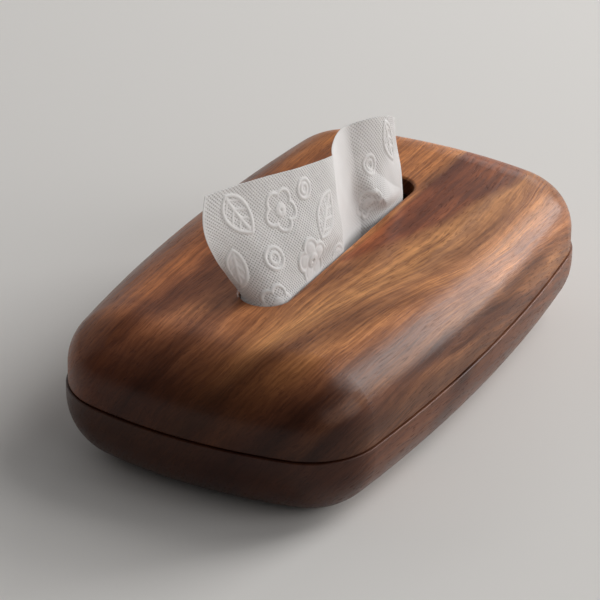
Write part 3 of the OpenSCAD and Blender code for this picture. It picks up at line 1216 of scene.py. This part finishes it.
LID_BANDS: tuple[GrowthBand, ...] = (
    # The broad dark band of the front half, and the pale ones on both sides of it
    GrowthBand(
        course={-119: -20, -100: -25, -80: -31, -60: -37, -40: -44, -20: -53, 0: -60, 119: -62},
        strength={
            -119: 0.35, -100: 0.45, -85: 0.5, -70: 0.44, -50: 0.36, -30: 0.34, -15: 0.18, 5: 0,
        },
        half_width=5.5,
    ),
    GrowthBand(
        course={-119: -13, -100: -15, -80: -18, -60: -18, -20: -22},
        strength={-119: 0, -112: -0.12, -100: -0.22, -80: -0.35, -62: -0.3, -45: -0.12, -20: 0},
        half_width=5.0,
    ),
    GrowthBand(
        course={-119: -34, -100: -38, -80: -44, -60: -49, -40: -54, -20: -60},
        strength={-119: 0, -100: -0.1, -80: -0.34, -60: -0.34, -45: -0.25, -25: -0.1, 0: 0},
        half_width=4.0,
    ),
    # Painted shade over the near corner past them, on the shoulder that faces away from the lamps
    GrowthBand(
        course={-119: -52, -100: -58, -80: -62, -60: -64, -40: -66},
        strength={-119: 0.5, -100: 0.55, -80: 0.42, -60: 0.34, -45: 0.18, -25: 0},
        half_width=7.0,
    ),
    GrowthBand(
        course={-119: -74, 119: -74},
        strength={-100: 0.3, -85: 0.2, -70: 0},
        half_width=8.0,
    ),
    # The dark root of the heart beside the slot, and the pale strip along its edge
    GrowthBand(
        course={-119: -10, -60: -11, -40: -14, -20: -18, 0: -22.5, 20: -26, 119: -34},
        strength={-60: 0, -42: 0.25, -20: 0.4, -5: 0.34, 5: 0.14, 14: 0},
        half_width=4.0,
    ),
    GrowthBand(
        course={-119: -13, 0: -13.5, 20: -14.5, 35: -17, 50: -20, 119: -24},
        strength={-25: 0, -10: -0.15, 8: -0.5, 25: -0.5, 38: -0.3, 52: 0},
        half_width=3.5,
    ),
    GrowthBand(
        course={-119: -12, 60: -13, 119: -12},
        strength={45: 0, 60: 0.16, 75: 0.42, 88: 0.4, 98: 0},
        half_width=6.0,
    ),
    GrowthBand(
        course={20: -17, 32: -19, 48: -24, 60: -28, 80: -30},
        strength={10: 0, 28: 0.34, 50: 0.26, 62: 0.34, 75: 0.3, 88: 0},
        half_width=6.0,
    ),
    # The pale ridge of the fan, the shade above its foot, and the fine dark line at it
    GrowthBand(
        course={-119: -24, 10: -25, 20: -27, 30: -28.5, 45: -33, 60: -36, 119: -40},
        strength={4: 0, 18: -0.3, 30: -0.28, 45: -0.12, 60: 0},
        half_width=2.5,
    ),
    GrowthBand(
        course={-119: -40, -32: -41, -20: -46, 0: -52},
        strength={-40: 0, -28: -0.3, -16: -0.26, -6: 0},
        half_width=3.0,
    ),
    GrowthBand(
        course={-119: -34, -30: -35, -10: -40, 0: -43, 20: -44},
        strength={-35: 0, -18: 0.24, 0: 0.28, 20: 0.22, 38: 0},
        half_width=4.5,
    ),
    GrowthBand(
        course={-25: -40, -10: -45, 0: -49, 12: -52, 40: -52.5, 90: -54},
        strength={-25: 0, -10: 0.16, 2: 0.26, 20: 0.32, 45: 0.26, 75: 0.1, 95: 0},
        half_width=2.4,
    ),
    # The lower edge of the heart
    GrowthBand(
        course={-119: -24, 0: -25, 15: -29, 30: -33, 45: -35.5, 60: -36, 80: -41, 119: -46},
        strength={-10: 0, 5: 0.16, 25: 0.26, 42: 0.34, 60: 0.24, 80: 0.3, 95: 0.12, 110: 0},
        half_width=4.5,
    ),
    # The paler wood of the near end; a pale far end, partly paler wood and partly a painted
    # highlight of the far shoulder; painted shade on the far corner of the shoulder; and a painted
    # shadow of the standing sheet along the slot
    GrowthBand(
        course={-119: 40, 119: 40},
        strength={-119: 0, -110: -0.3, -100: -0.45, -90: -0.32, -78: 0},
        half_width=15.0,
    ),
    # Partly paler wood and partly a painted highlight of the far shoulder
    GrowthBand(
        course={-119: -20, 119: -22},
        strength={82: 0, 92: -0.36, 102: -0.55, 119: -0.35},
        half_width=11.0,
    ),
    # Painted shade on the far corner of the shoulder, which holds down the lamps' sheen there
    GrowthBand(
        course={-119: -57, 119: -60},
        strength={76: 0, 88: 0.26, 104: 0.45, 119: 0.4},
        half_width=10.0,
    ),
    # Painted shadow of the standing sheet along the slot's near edge
    GrowthBand(
        course={-119: -11, 119: -11},
        strength={-66: 0, -56: 0.3, -22: 0.24, -8: 0},
        half_width=2.2,
    ),
    # Dark and pale bands behind the slot
    GrowthBand(
        course={-119: 40, -100: 36, -80: 32, -60: 28.5, -40: 26},
        strength={-119: 0.1, -95: 0.3, -75: 0.34, -50: 0.3, -30: 0.1, 0: 0},
        half_width=4.8,
    ),
    GrowthBand(
        course={-119: 47, -90: 43, -60: 40.5, -20: 39},
        strength={-119: 0, -92: 0.05, -78: -0.3, -62: -0.6, -40: -0.55, -20: -0.15, 10: 0},
        half_width=5.5,
    ),
    GrowthBand(
        course={-119: 28, -95: 25, -80: 18.5, -65: 15.5, 119: 14},
        strength={-119: 0, -104: -0.15, -92: -0.5, -80: -0.6, -68: -0.25, -50: -0.15, -30: 0},
        half_width=5.5,
    ),
    GrowthBand(
        course={-119: 9, -80: 10, -60: 16, 119: 20},
        strength={-119: 0.2, -100: 0.34, -85: 0.28, -70: 0.25, -55: 0.3, -40: 0.2, -20: 0},
        half_width=4.5,
    ),
    GrowthBand(
        course={-119: 56, -60: 55},
        strength={-119: 0.1, -90: 0.3, -60: 0.34, -20: 0.3, 5: 0},
        half_width=6.0,
    ),
    GrowthBand(
        course={-119: 3, -50: 1, 119: 0},
        strength={-119: 0, -100: -0.05, -88: -0.32, -75: -0.3, -60: -0.2, -45: 0},
        half_width=3.2,
    ),
    GrowthBand(
        course={-119: -6, -60: -7},
        strength={-119: 0, -100: -0.1, -85: -0.25, -70: 0.06, -58: 0.1, -50: 0},
        half_width=3.0,
    ),
    GrowthBand(
        course={-119: 58, 119: 56},
        strength={20: 0, 45: 0.6, 85: 0.6, 105: 0.3, 119: 0},
        half_width=7.5,
    ),
    GrowthBand(
        course={-119: 39, 119: 37},
        strength={25: 0, 45: 0.3, 85: 0.26, 105: 0.05, 119: 0},
        half_width=5.0,
    ),
    # Down the long side: two dark streaks, the paler foot of the far half, and pale streaks
    GrowthBand(
        course={-119: -70, -60: -73, -45: -74, -15: -77, 15: -79.6, 45: -79.5, 119: -84},
        strength={-75: 0, -55: 0.3, -15: 0.5, 15: 0.4, 45: 0.46, 60: 0.26, 75: 0},
        half_width=2.6,
    ),
    GrowthBand(
        course={-119: -78, -88: -81, -75: -82, 119: -88},
        strength={-119: 0, -98: 0.2, -88: 0.45, -74: 0.4, -62: 0},
        half_width=3.6,
    ),
    GrowthBand(
        course={0: -90, 30: -87, 60: -86},
        strength={-15: 0, 0: -0.16, 30: -0.28, 60: -0.36, 75: -0.2, 95: 0},
        half_width=4.5,
    ),
    GrowthBand(
        course={-119: -66, -90: -72.5, -75: -75.3, -60: -78.3, -30: -84, 0: -88, 119: -95},
        strength={-100: 0, -85: -0.5, -40: -0.6, -15: -0.35, 0: 0},
        half_width=2.2,
    ),
    GrowthBand(
        course={-119: -70, 0: -72, 50: -73, 75: -75.5, 90: -76.5, 119: -79},
        strength={-5: 0, 10: -0.5, 60: -0.5, 90: -0.35, 105: 0},
        half_width=1.9,
    ),
    GrowthBand(
        course={-119: -73, 119: -74},
        strength={-14: 0, 0: -0.24, 18: -0.2, 32: 0},
        half_width=3.0,
    ),
)
TRAY_BANDS: tuple[GrowthBand, ...] = (
    # The paler near corner, and a dark patch that slants down the long side
    GrowthBand(
        course={-119: 25, 119: 25},
        strength={-119: -0.4, -105: -0.3, -90: 0},
        half_width=18.0,
    ),
    GrowthBand(
        course={-119: -125, -60: -112, -45: -105, -20: -93, 0: -84, 119: -60},
        strength={-65: 0, -48: 0.45, -22: 0.5, -8: 0},
        half_width=6.0,
    ),
)


@dataclass(frozen=True)
class WoodenShells:
    """The lid and the tray, which keep their CAD meshes, and the magnets in their rims."""

    magnets_each: int = 4

    def dress_shells(self) -> None:
        """Gives each shell the board that it was cut from."""
        lid = SatinAcacia(
            shell=Shell.LID,
            layers=LID_LAYERS,
            fan={-119: 10, -80: 14, -50: 21, -20: 31, 0: 38, 25: 42, 60: 40, 119: 34},
            heart={-30: 0, -10: 10, 20: 20, 40: 27, 60: 29, 80: 34, 119: 36},
            # Darker towards the near end: darker wood and painted shade
            tone_and_painted_shade={
                -119: 0.17, -116: 0.23, -112: 0.36, -108: 0.48, -102: 0.63, -95: 0.76, -84: 0.95,
                -70: 1.0,
            },
            heart_colour="773a22",
            gold_colour="b87341",
            gold_strength=0.85,
            bands=LID_BANDS,
        )
        tray = SatinAcacia(
            shell=Shell.TRAY,
            layers=TRAY_LAYERS,
            fan={-119: 14, -40: 12, 20: 20, 119: 26},
            heart={-40: 0, 30: 6, 119: 16},
            # Darker towards the near end: darker wood and painted shade
            tone_and_painted_shade={-119: 0.29, -100: 0.4, -80: 0.7, -50: 0.86, 20: 0.9, 80: 1.05},
            heart_colour="62392a",
            gold_colour="86553a",
            gold_strength=0.3,
            bands=TRAY_BANDS,
        )
        dress(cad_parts["lid_shell"], lid.material())
        dress(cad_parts["base_tray"], tray.material())
        LOG.info("lid_shell and base_tray: two acacia boards")

    def dress_magnets(self) -> None:
        """Gives the magnets their plating."""
        plating = PlatedNickel().material()
        for shell in Shell:
            for number in range(1, self.magnets_each + 1):
                dress(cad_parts[f"{shell.value}_magnet_{number}"], plating)
        LOG.info("%d magnets: nickel plated", 2 * self.magnets_each)


# Stage, lamps and camera


@dataclass(frozen=True)
class Studio:
    """Plain pale floor, large soft lamps at the far right and back, and the photo's view."""

    floor_colour: str = "e6e3df"
    floor_size: float = 6.0
    world_colour: str = "f4f4f6"
    world_strength: float = 0.09
    # Place, size and watts of each lamp. The window side, the light above it and the far
    # end draw the sheen, the back lamp lights the far shoulder, and two weak lamps fill
    lamps: tuple[tuple, ...] = (
        ("window_lamp", (1.95, -1.18, 0.95), (1.2, 1.5), 43.5),
        ("high_lamp", (1.25, -1.0, 1.9), (1.2, 1.2), 14.0),
        ("far_lamp", (2.3, 0.3, 0.9), (1.2, 1.0), 7.0),
        ("back_lamp", (0.6, 2.0, 1.1), (3.6, 2.0), 10.0),
        ("side_fill", (0.3, -2.2, 1.1), (1.2, 1.2), 12.0),
        ("front_fill", (-0.9, -1.9, 1.0), (1.2, 1.2), 5.0),
    )
    turn: float = 0.477006
    height: float = 0.491473
    roll: float = 0.0142286
    distance: float = 1.517956
    look_at: tuple = (-0.0001828, 0.0124905, 0.031)
    focal_px: float = 3790.017
    image_px: float = 600.0
    sensor_mm: float = 36.0
    lamps_face: tuple[float, float, float] = (0.0, 0.0, 0.05)

    def floor(self) -> None:
        """Lays the pale floor."""
        bpy.ops.object.select_all(action="DESELECT")
        bpy.ops.mesh.primitive_plane_add(size=self.floor_size, location=(0, 0, 0))
        ground = bpy.context.active_object
        ground.name = "floor"
        made, node = new_material("plain_pale_floor")
        matt = {
            "Base Color": linear(self.floor_colour),
            "Roughness": 0.85,
            "Specular IOR Level": 0.2,
        }
        node("OutputMaterial", {"Surface": node("BsdfPrincipled", matt)})
        dress(ground, made)

    def lamp(self, name: str, place: Sequence[float], size: Sequence[float], watts: float) -> None:
        """Hangs one rectangular soft lamp that faces the box.

        Args:
            name: the lamp's name.
            place: where it hangs, in metres.
            size: width and height in metres.
            watts: its power.
        """
        data = bpy.data.lights.new(name, "AREA")
        data.shape = "RECTANGLE"
        data.size, data.size_y = size
        data.energy = watts
        lamp = bpy.data.objects.new(name, data)
        bpy.context.scene.collection.objects.link(lamp)
        lamp.location = place
        aim = Vector(self.lamps_face) - Vector(place)
        lamp.rotation_euler = aim.to_track_quat("-Z", "Y").to_euler()

    def light(self) -> None:
        """Sets the lamps and the even light of the room."""
        for name, place, size, watts in self.lamps:
            self.lamp(name, place, size, watts)
        world = bpy.data.worlds.new("soft_room")
        bpy.context.scene.world = world
        world.use_nodes = True
        sky = world.node_tree.nodes["Background"]
        sky.inputs["Color"].default_value = linear(self.world_colour)
        sky.inputs["Strength"].default_value = self.world_strength
        bpy.context.scene.view_settings.view_transform = "Standard"

    def camera(self) -> None:
        """Places the camera at the photograph's viewpoint."""
        ahead = Vector((
            math.cos(self.height) * math.cos(self.turn),
            math.cos(self.height) * math.sin(self.turn),
            -math.sin(self.height),
        ))
        level = Vector((math.sin(self.turn), -math.cos(self.turn), 0))
        upright = level.cross(ahead)
        right = math.cos(self.roll) * level + math.sin(self.roll) * upright
        above = math.cos(self.roll) * upright - math.sin(self.roll) * level
        data = bpy.data.cameras.new("camera")
        data.sensor_width = self.sensor_mm
        data.lens = self.focal_px / self.image_px * self.sensor_mm
        camera = bpy.data.objects.new("camera", data)
        bpy.context.scene.collection.objects.link(camera)
        spin = Matrix((right, above, -ahead)).transposed().to_4x4()
        place = Vector(self.look_at) - self.distance * ahead
        camera.matrix_world = Matrix.Translation(place) @ spin
        bpy.context.scene.camera = camera


def main() -> None:
    """Builds and dresses every piece, then the stage."""
    logging.basicConfig(level=logging.INFO, format="%(name)s: %(message)s")
    shells = WoodenShells()
    shells.dress_shells()
    shells.dress_magnets()
    paper = SoftTissue().material(pits="pits", sheet_map="sheet")
    TissueBlock().build(paper)
    StandingTissue().build(PressedPattern(), paper)
    studio = Studio()
    studio.floor()
    studio.light()
    studio.camera()


if __name__ == "__main__":
    main()
